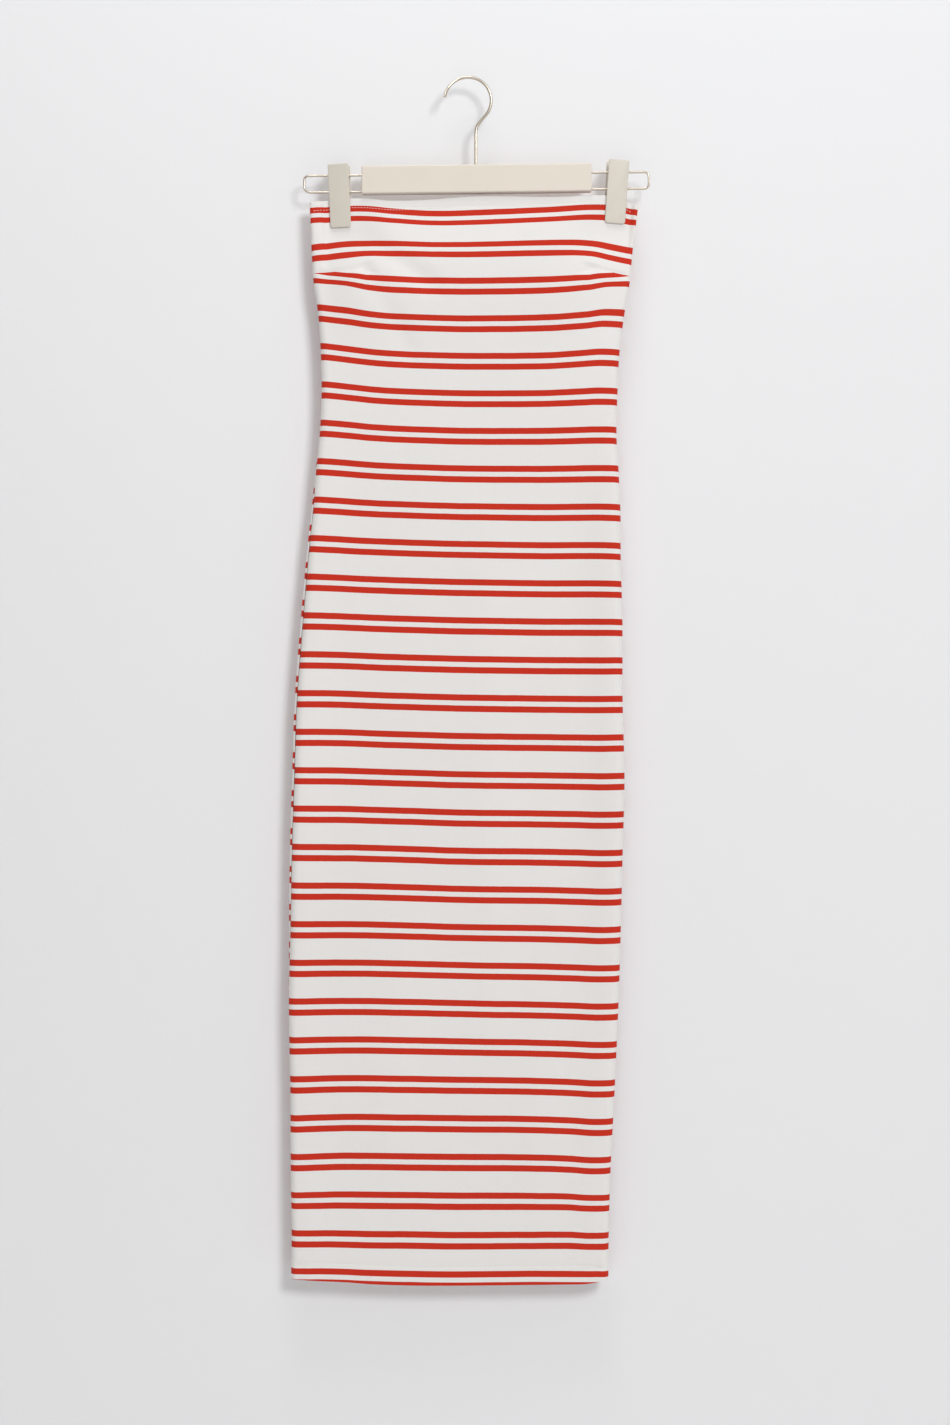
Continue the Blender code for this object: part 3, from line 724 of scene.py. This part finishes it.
def metal_finish(name, colour, gloss):
    """Satin-plated metal with fine drawing lines along the wire."""
    finish = Finish(name, colour, Metallic=1.0, Roughness=gloss)
    place = finish.place()
    drawn = finish.grain(finish.stretched(place, (220.0, 2600.0, 2600.0)), 1.0)
    worn = finish.grain(place, 60.0, 3.0)
    finish.vary("Base Color", finish.tint(worn, colour, 0.9, 1.05))
    finish.vary("Roughness", gloss - 0.06 + drawn * 0.12 + worn * 0.06)
    finish.relief(drawn * 0.00001)
    return finish.material


def stage_finish(name, colour, one_sided):
    """Matt paint. A one-sided wall is clear from behind, and lets light through."""
    finish = Finish(name, colour, Roughness=0.9, Specular_IOR_Level=0.2)
    cloudy = finish.grain(finish.place(), 1.3, 2.0)
    finish.vary("Base Color", finish.tint(cloudy, colour, 0.985, 1.01))
    if one_sided:
        back = finish.add("ShaderNodeNewGeometry", {}, {}).outputs["Backfacing"]
        lit = finish.add("ShaderNodeLightPath", {}, {}).outputs["Is Shadow Ray"]
        back = finish.maths("MAXIMUM", back, lit)
        clear = finish.add("ShaderNodeBsdfTransparent", {}, {}).outputs[0]
        both = finish.add("ShaderNodeMixShader", {}, {
            0: back, 1: finish.shader.outputs[0], 2: clear})
        finish.feed(finish.tree.nodes["Material Output"].inputs["Surface"],
                    both.outputs[0])
    return finish.material


def new_object(name, data):
    """An object in the scene."""
    made = bpy.data.objects.new(name, data)
    bpy.context.scene.collection.objects.link(made)
    return made


def new_piece(name, data, material, nodes):
    """An object of the dress or hanger, riding with the whole and standing for its solid."""
    piece = new_object(name, data)
    data.materials.append(material)
    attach(piece, "root")
    if nodes:
        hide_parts(*nodes)
    return piece


def mesh_of(name, form):
    """A mesh from a finished form, shaded smooth but for its sharp edges."""
    mesh = bpy.data.meshes.new(name)
    form.to_mesh(mesh)
    form.free()
    mesh.shade_smooth()
    mesh.set_sharp_from_angle(angle=SMOOTH_UNDER)
    return mesh


def wall_share(down):
    """Thickness of a panel's wall at one row, as a share of its turned edges'."""
    top = 1 - ease(down, TOP_TURN - TURN_EASE, TOP_TURN + TURN_EASE)
    hem = ease(down, LENGTH - HEM_TURN - TURN_EASE, LENGTH - HEM_TURN + TURN_EASE)
    thick = CLOTH + (TURNED - CLOTH) * max(top, hem) - 2 * rim_fall(down)
    return max(thick, THINNEST) / TURNED


def make_panel(name, side, node, material):
    """One panel of the dress: a grid laid over its hung form, with its wall inside."""
    panelling = Panelling(side)
    depths = row_depths()
    rows = [panelling.row(down) for down in depths]
    across = len(rows[0])
    form = bmesh.new()
    bmesh.ops.create_grid(form, x_segments=across - 1, y_segments=len(rows) - 1, size=1.0)
    place = {}
    for vertex in form.verts:
        column = round((vertex.co.x + 1) / 2 * (across - 1))
        row = round((1 - vertex.co.y) / 2 * (len(rows) - 1))
        place[vertex] = (row, column)
    knit = form.loops.layers.uv.new("knit")
    for face in form.faces:
        highest = min(place[vertex][0] for vertex in face.verts)
        for loop in face.loops:
            row, column = place[loop.vert]
            point, u, share = rows[row][column]
            v = panelling.knit(depths[row], share, point.z, row == highest)
            v += BACK_SHIFT if side == BACK else 0.0
            loop[knit].uv = (u * MM, v * MM)
    for vertex in form.verts:
        row, column = place[vertex]
        vertex.co = rows[row][column][0] * MM
    if side == BACK:
        bmesh.ops.reverse_faces(form, faces=form.faces[:])
    by_row = {}
    for index, vertex in enumerate(form.verts):
        by_row.setdefault(place[vertex][0], []).append(index)
    piece = new_piece(name, mesh_of(name, form), material, [node])
    walls = piece.vertex_groups.new(name="wall")
    for row, members in by_row.items():
        walls.add(members, wall_share(depths[row]), "REPLACE")
    wall = piece.modifiers.new("Wall", "SOLIDIFY")
    wall.thickness = TURNED * MM
    wall.offset = -1
    wall.vertex_group = walls.name


def flat_cut(side):
    """Width, length and area of the cloth that shows on one panel, laid flat, in metres."""
    panelling = Panelling(side)
    depths = [LENGTH * k / FLAT_ROWS for k in range(FLAT_ROWS + 1)]
    widths = [2 * panelling.row(down)[-1][1] for down in depths]
    length = LENGTH * MM
    return max(widths) * MM, length, sum(widths) / len(widths) * MM * length


def stitch_line(panelling, mark, offset):
    """Places along a stitch line that runs beside the top edge or the hem fold."""
    left, right = table_row(OUTLINE, TOP + mark)
    count = int((right - left - 2 * STITCH_MARGIN) / STITCH_PITCH)
    places = []
    for k in range(count + 1):
        x = left + STITCH_MARGIN + STITCH_PITCH * k
        share = (x - left) / (right - left)
        places.append((x, panelling.height(mark, share) + offset))
    return places


def sew(name, side, cloth, material):
    """Stitches along the top edge and the hem, each laid on the cloth."""
    panelling = Panelling(side)
    lines = [stitch_line(panelling, LENGTH, above) for above in HEM_STITCHES]
    lines.append(stitch_line(panelling, 0, -TOP_STITCH))
    surface = bmesh.new()
    surface.from_mesh(cloth.data)
    tree = BVHTree.FromBMesh(surface)
    surface.free()
    towards = Vector((0, side, 0))
    size = Matrix.Diagonal((STITCH_LENGTH, STITCH_THICK, STITCH_THICK, 1))
    form = bmesh.new()
    for line in lines:
        for (x, z), (next_x, next_z) in zip(line, line[1:]):
            start = (Vector((x, 0, z)) - towards * STITCH_FROM) * MM
            hit, normal, _, _ = tree.ray_cast(start, towards)
            if hit is None or normal.dot(towards) > TURNED_AWAY:
                continue
            along = Vector((next_x - x, 0, next_z - z)).normalized()
            along = (along - normal * along.dot(normal)).normalized()
            beside = normal.cross(along)
            turn = Matrix((along, beside, normal)).transposed().to_4x4()
            bmesh.ops.create_uvsphere(
                form, u_segments=STITCH_FACETS[0], v_segments=STITCH_FACETS[1],
                radius=0.5 * MM, matrix=Matrix.Translation(hit) @ turn @ size)
    return new_piece(name, mesh_of(name, form), material, [])


def arc_points(centre, radius, start, end, count):
    """Points on an arc in the XZ plane, by angles in degrees from +X towards +Z."""
    angles = [math.radians(start + (end - start) * k / count) for k in range(count + 1)]
    return [Vector((centre[0] + radius * math.cos(a), 0.0, centre[1] + radius * math.sin(a)))
            for a in angles]


def make_wire(name, points, radius, closed, material, node):
    """A bent wire along a route."""
    route = bpy.data.curves.new(name, "CURVE")
    route.dimensions = "3D"
    route.bevel_depth = radius * MM
    route.bevel_resolution = WIRE_ROUNDING
    route.use_fill_caps = not closed
    line = route.splines.new("POLY")
    line.points.add(len(points) - 1)
    for point, place in zip(line.points, points):
        point.co = (*(place * MM), 1)
    line.use_cyclic_u = closed
    line.use_smooth = True
    new_piece(name, route, material, [node])


def on_hanger(x, z):
    """A point given from the bar's centre, with the hanger's slight tilt."""
    turn = Matrix.Rotation(-HANGER_TILT, 3, "Y")
    return turn @ Vector((x, 0, z)) + Vector((BAR_CENTRE[0], 0, BAR_CENTRE[2]))


def frame_route():
    """The frame's loop, with its four rounded corners."""
    loop = []
    corners = ((1, FRAME_TOP, 0), (-1, FRAME_TOP, 90), (-1, FRAME_BOTTOM, 180),
               (1, FRAME_BOTTOM, 270))
    for radius, (end, level, start) in zip(FRAME_CORNERS, corners):
        x = end * (FRAME_WIDTH / 2 - radius)
        z = level - math.copysign(radius, level)
        loop += arc_points((x, z), radius, start, start + 90, CORNER_STEPS)
    return [on_hanger(point.x, point.z) for point in loop]


def hook_route():
    """The hook's crook, its short bend and its upright stem."""
    centre = (0.0, HOOK_WIRE - HOOK_RADIUS)
    crook = arc_points(centre, HOOK_RADIUS, HOOK_TIP, HOOK_END, HOOK_STEPS)
    for k in range(HOOK_TIP_STEPS):
        crook[k].y = -HOOK_TIP_FORWARD * (1 - k / HOOK_TIP_STEPS) ** 2
    neck = [Vector((STEM_X + x, 0.0, STEM_TOP + z)) for x, z in HOOK_NECK]
    stem = [Vector((STEM_X, 0.0, z)) for z in (STEM_MIDDLE, STEM_FOOT)]
    return crook + neck + stem


def clip_place(x, below, lean, yaw):
    """Where a clip hangs, leaning and turned."""
    turn = Matrix.Rotation(-lean, 4, "Y") @ Matrix.Rotation(yaw, 4, "Z")
    return Matrix.Translation(Vector((x, 0, -below)) * MM) @ turn @ Matrix.Scale(MM, 4)


def upright_corners(form, height):
    """A jaw's edges that run through its thickness at one height."""
    return [e for e in form.edges
            if all(abs(v.co.z - height) < NEAR for v in e.verts)
            and abs(e.verts[0].co.x - e.verts[1].co.x) < NEAR]


def round_off(form, edges, radius, steps):
    """Rounds edges of a form."""
    bmesh.ops.bevel(form, geom=edges, offset=radius, offset_type="OFFSET", affect="EDGES",
                    segments=steps, profile=0.5, material=-1)


def make_jaw(name, side, place, material, node):
    """One jaw: an upright gripping end below, and a plate that leans away above it."""
    form = bmesh.new()
    bmesh.ops.create_cube(form, size=1.0)
    bmesh.ops.scale(form, vec=(CLIP_WIDTH, CLIP_PLATE, CLIP_HEIGHT), verts=form.verts)
    outwards = -side * (JAW_GAP + CLIP_PLATE / 2)
    bmesh.ops.translate(form, vec=(0, outwards, 0), verts=form.verts)
    bend = CLIP_PAD - CLIP_HEIGHT / 2
    everything = form.verts[:] + form.edges[:] + form.faces[:]
    bmesh.ops.bisect_plane(form, geom=everything, plane_co=(0, 0, bend), plane_no=(0, 0, 1))
    top = [v for v in form.verts if v.co.z > bend + NEAR]
    bmesh.ops.translate(form, vec=(0, -side * CLIP_SPREAD, 0), verts=top)
    for height, radius in ((-CLIP_HEIGHT / 2, CLIP_CORNER), (CLIP_HEIGHT / 2, CLIP_TOP_CORNER)):
        round_off(form, upright_corners(form, height), radius, CLIP_CORNER_STEPS)
    rims = [e for e in form.edges
            if len(e.link_faces) == 2 and e.calc_face_angle(0) > CLIP_SHARP]
    round_off(form, rims, CLIP_EDGE, CLIP_EDGE_STEPS)
    bmesh.ops.transform(form, matrix=place, verts=form.verts)
    new_piece(name, mesh_of(name, form), material, [node])


def make_spring(name, wire_above, place, material, node):
    """A bent strip: round under the lower wire, with its legs against the two jaws."""
    jaw_slope = CLIP_SPREAD / (CLIP_HEIGHT - CLIP_PAD)
    reach = SPRING_REACH - (CLIP_PAD - CLIP_HEIGHT / 2)
    leg_top = JAW_GAP + jaw_slope * reach - SPRING_CLEAR
    bend = SPRING_BEND + SPRING_STRIP
    half = SPRING_WIDTH / 2
    form = bmesh.new()
    foot = form.verts.new((-half, -bend, wire_above))
    side = form.verts.new((half, -bend, wire_above))
    edge = form.edges.new((foot, side))
    bmesh.ops.spin(form, geom=[foot, side, edge], cent=(0, 0, wire_above), axis=(1, 0, 0),
                   angle=math.pi, steps=SPRING_STEPS, use_merge=False, use_duplicate=False)
    ends = [e for e in form.edges if e.is_boundary
            and all(abs(v.co.z - wire_above) < NEAR for v in e.verts)]
    for end in ends:
        lean = math.copysign(leg_top, end.verts[0].co.y)
        made = bmesh.ops.extrude_edge_only(form, edges=[end])["geom"]
        for vertex in (part for part in made if isinstance(part, bmesh.types.BMVert)):
            vertex.co.y = lean
            vertex.co.z = SPRING_REACH
    bmesh.ops.recalc_face_normals(form, faces=form.faces[:])
    bmesh.ops.transform(form, matrix=place, verts=form.verts)
    piece = new_piece(name, mesh_of(name, form), material, [node])
    strip = piece.modifiers.new("Strip", "SOLIDIFY")
    strip.thickness = SPRING_STRIP * MM
    strip.offset = 0


def make_stop(material):
    """The small bead that stops a clip on the lower wire."""
    centre = on_hanger(STOP_X - BAR_CENTRE[0], FRAME_BOTTOM)
    form = bmesh.new()
    bmesh.ops.create_uvsphere(form, u_segments=STOP_FACETS[0], v_segments=STOP_FACETS[1],
                              radius=0.5)
    bmesh.ops.scale(form, vec=Vector(STOP_SIZE) * MM, verts=form.verts)
    bmesh.ops.translate(form, vec=centre * MM, verts=form.verts)
    new_piece("wire_stop", mesh_of("wire_stop", form), material, [])


def make_sheet_of_stage(name, size, place, material):
    """A flat side of the stage."""
    form = bmesh.new()
    bmesh.ops.create_grid(form, x_segments=1, y_segments=1, size=0.5)
    bmesh.ops.scale(form, vec=(size[0] * MM, size[1] * MM, 1), verts=form.verts)
    bmesh.ops.transform(form, matrix=place, verts=form.verts)
    side = new_object(name, mesh_of(name, form))
    side.data.materials.append(material)


def make_light(name, place, aim, size, watts, colour):
    """A square softbox."""
    lamp = bpy.data.lights.new(name, "AREA")
    lamp.shape = "SQUARE"
    lamp.size = size
    lamp.energy = watts
    lamp.color = colour
    light = new_object(name, lamp)
    light.location = place
    light.rotation_euler = (Vector(aim) - Vector(place)).to_track_quat("-Z", "Y").to_euler()


def make_room(look):
    """Even light from all round, against a plain pale background."""
    world = bpy.data.worlds.new("room")
    world.use_nodes = True
    nodes = world.node_tree.nodes
    links = world.node_tree.links
    light = nodes["Background"]
    light.inputs["Color"].default_value = (*look.room, 1)
    light.inputs["Strength"].default_value = look.room_light
    seen = nodes.new("ShaderNodeBackground")
    seen.inputs["Color"].default_value = (*look.wall, 1)
    seen.inputs["Strength"].default_value = BACKGROUND_LIGHT
    both = nodes.new("ShaderNodeMixShader")
    links.new(nodes.new("ShaderNodeLightPath").outputs["Is Camera Ray"], both.inputs[0])
    links.new(light.outputs[0], both.inputs[1])
    links.new(seen.outputs[0], both.inputs[2])
    links.new(both.outputs[0], nodes["World Output"].inputs["Surface"])
    return world


def colour_setting(name, description, default):
    """A colour that the user can change."""
    return FloatVectorProperty(name=name, description=description, default=default,
                               subtype="COLOR", size=3, min=0, max=1)


def length_setting(name, description, least, default):
    """A length that the user can change."""
    return FloatProperty(name=name, description=description, default=default, min=least,
                         subtype="DISTANCE", unit="LENGTH")


class KnitLook(PropertyGroup):
    """Colours and repeat of the striped knit."""

    white: colour_setting("White yarn", "Colour of the ground", (0.815, 0.80, 0.78))
    red: colour_setting("Red yarn", "Colour of the stripes", (0.60, 0.030, 0.012))
    thread: colour_setting("Thread", "Colour of the stitching", (0.80, 0.78, 0.75))
    pitch: length_setting("Pitch", "Knit from one pair of stripes to the next", 0.005, 0.041)
    spacing: length_setting(
        "Spacing", "Middle to middle of the two stripes of a pair", 0.001, 0.0118)
    stripe: length_setting("Stripe", "Width of one stripe", 0.0005, 0.0067)
    wale: length_setting("Wale", "Width of one upright row of loops", 0.0002, 0.00072)
    course: length_setting("Course", "Height of one level row of loops", 0.0002, 0.00055)


class HangerLook(PropertyGroup):
    """Colours of the hanger."""

    bar: colour_setting("Bar", "Colour of the moulded bar", (0.745, 0.68, 0.595))
    clip: colour_setting("Clips", "Colour of the moulded clips", (0.635, 0.59, 0.515))
    wire: colour_setting("Wire", "Colour of the plated wire", (0.63, 0.565, 0.475))
    spring: colour_setting("Springs", "Colour of the spring steel", (0.58, 0.56, 0.53))


class StageLook(PropertyGroup):
    """Wall, floor and light of the studio."""

    wall: colour_setting("Wall", "Colour of the wall", (0.83, 0.835, 0.85))
    floor: colour_setting("Floor", "Colour of the floor", (0.78, 0.78, 0.785))
    room: colour_setting("Room", "Colour of the light from all round", (1.0, 0.965, 0.93))
    room_light: FloatProperty(
        name="Room light", description="Strength of the light from all round",
        subtype="FACTOR", min=0, max=4, default=0.375)
    key_light: FloatProperty(
        name="Key light", description="How strong the softboxes are",
        subtype="FACTOR", min=0, max=4, default=1.0)


class DRESS_OT_cloth(Operator):
    """Make the two knit panels of the dress, over their solids."""

    bl_idname = "striped_dress.cloth"
    bl_label = "Panels"

    def execute(self, context):
        material = knit_finish(context.scene.knit_look)
        for name, side, node in (("front_panel", FRONT, "dress_front"),
                                 ("back_panel", BACK, "dress_back")):
            make_panel(name, side, node, material)
        return {"FINISHED"}


class DRESS_OT_stitching(Operator):
    bl_idname = "striped_dress.stitching"
    bl_label = "Stitching"

    def execute(self, context):
        material = thread_finish(context.scene.knit_look)
        for name, side in (("front", FRONT), ("back", BACK)):
            cloth = bpy.data.objects[f"{name}_panel"]
            stitches = sew(f"{name}_stitching", side, cloth, material)
            width, length, area = flat_cut(side)
        return {"FINISHED"}


class DRESS_OT_bar(Operator):
    """Give the hanger's bar its plastic."""

    bl_idname = "striped_dress.bar"
    bl_label = "Bar"

    def execute(self, context):
        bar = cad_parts["hanger_bar"]
        plastic = plastic_finish("bar_plastic", tuple(context.scene.hanger_look.bar),
                                 gloss=0.42, grain=0.000006)
        for slot in bar.material_slots:
            slot.material = plastic
        return {"FINISHED"}


class DRESS_OT_wires(Operator):
    """Bend the hanger's hook and its frame, with the bead on it."""

    bl_idname = "striped_dress.wires"
    bl_label = "Hook and frame"

    def execute(self, context):
        metal = metal_finish("plated_wire", tuple(context.scene.hanger_look.wire),
                             gloss=0.26)
        make_wire("hook_wire", hook_route(), HOOK_WIRE, False, metal, "hanger_hook")
        make_wire("frame_wire", frame_route(), FRAME_WIRE, True, metal, "hanger_frame")
        make_stop(metal)
        return {"FINISHED"}


class DRESS_OT_clips(Operator):
    """Make the two jaws and the spring of each clip."""

    bl_idname = "striped_dress.clips"
    bl_label = "Clips"

    def execute(self, context):
        look = context.scene.hanger_look
        plastic = plastic_finish("clip_plastic", tuple(look.clip), gloss=0.45, grain=0.00001)
        steel = metal_finish("spring_steel", tuple(look.spring), gloss=0.34)
        for name, x, below, lean, yaw in CLIPS:
            place = clip_place(x, below, lean, yaw)
            wire = on_hanger(x - BAR_CENTRE[0], FRAME_BOTTOM)
            for jaw, side in (("front", FRONT), ("back", BACK)):
                make_jaw(f"{name}_{jaw}_jaw", side, place, plastic,
                         f"clip_{name}_{jaw}_jaw")
            make_spring(f"{name}_spring", below + wire.z, place, steel,
                        f"clip_{name}_spring")
        return {"FINISHED"}


class DRESS_OT_stage(Operator):
    """Set up the wall, floor, lights and camera."""

    bl_idname = "striped_dress.stage"
    bl_label = "Stage"

    def execute(self, context):
        scene = context.scene
        look = scene.stage_look
        upright = Matrix.Rotation(math.pi / 2, 4, "X")
        behind = Matrix.Translation(
            (0, WALL_BEHIND * MM, (FLOOR_BELOW + WALL_SIZE[1] / 2) * MM)) @ upright
        make_sheet_of_stage("wall", WALL_SIZE, behind,
                            stage_finish("wall_paint", tuple(look.wall), True))
        make_sheet_of_stage("floor", (FLOOR_SIZE, FLOOR_SIZE),
                            Matrix.Translation((0, 0, FLOOR_BELOW * MM)),
                            stage_finish("floor_paint", tuple(look.floor), False))
        for name, place, aim, size, watts, colour in LIGHTS:
            make_light(name, place, aim, size, watts * look.key_light, colour)
        scene.world = make_room(look)
        scene.view_settings.view_transform = "Standard"
        eye = bpy.data.cameras.new("eye")
        eye.lens = CAMERA_LENS
        camera = new_object("eye", eye)
        camera.location = Vector(CAMERA) * MM
        camera.rotation_euler = (math.pi / 2, 0, 0)
        scene.camera = camera
        return {"FINISHED"}


class DRESS_PT_sidebar(Panel):
    """Lists the pieces of the dress."""

    bl_idname = "DRESS_PT_sidebar"
    bl_label = "Striped Knit Dress"
    bl_space_type = "VIEW_3D"
    bl_region_type = "UI"
    bl_category = "Dress"

    def draw(self, context):
        """Draws the settings, and a button for each operator."""
        for look in (context.scene.knit_look, context.scene.hanger_look,
                     context.scene.stage_look):
            box = self.layout.box()
            for setting in look.__annotations__:
                box.prop(look, setting)
        for step in STEPS:
            self.layout.operator(step.bl_idname)


LOOKS = (("knit_look", KnitLook), ("hanger_look", HangerLook), ("stage_look", StageLook))
STEPS = (DRESS_OT_cloth, DRESS_OT_stitching, DRESS_OT_bar, DRESS_OT_wires, DRESS_OT_clips,
         DRESS_OT_stage)
CLASSES = tuple(look for _, look in LOOKS) + STEPS + (DRESS_PT_sidebar,)


def register():
    """Adds the classes and the scene's settings."""
    for each in CLASSES:
        bpy.utils.register_class(each)
    for name, look in LOOKS:
        setattr(bpy.types.Scene, name, PointerProperty(type=look))


def unregister():
    """Takes them out again."""
    for name, _ in LOOKS:
        delattr(bpy.types.Scene, name)
    for each in reversed(CLASSES):
        bpy.utils.unregister_class(each)


def main():
    """Builds the dress, its hanger and the stage."""
    register()
    bpy.ops.striped_dress.cloth()
    bpy.ops.striped_dress.stitching()
    bpy.ops.striped_dress.bar()
    bpy.ops.striped_dress.wires()
    bpy.ops.striped_dress.clips()
    bpy.ops.striped_dress.stage()


if __name__ == "__main__":
    main()
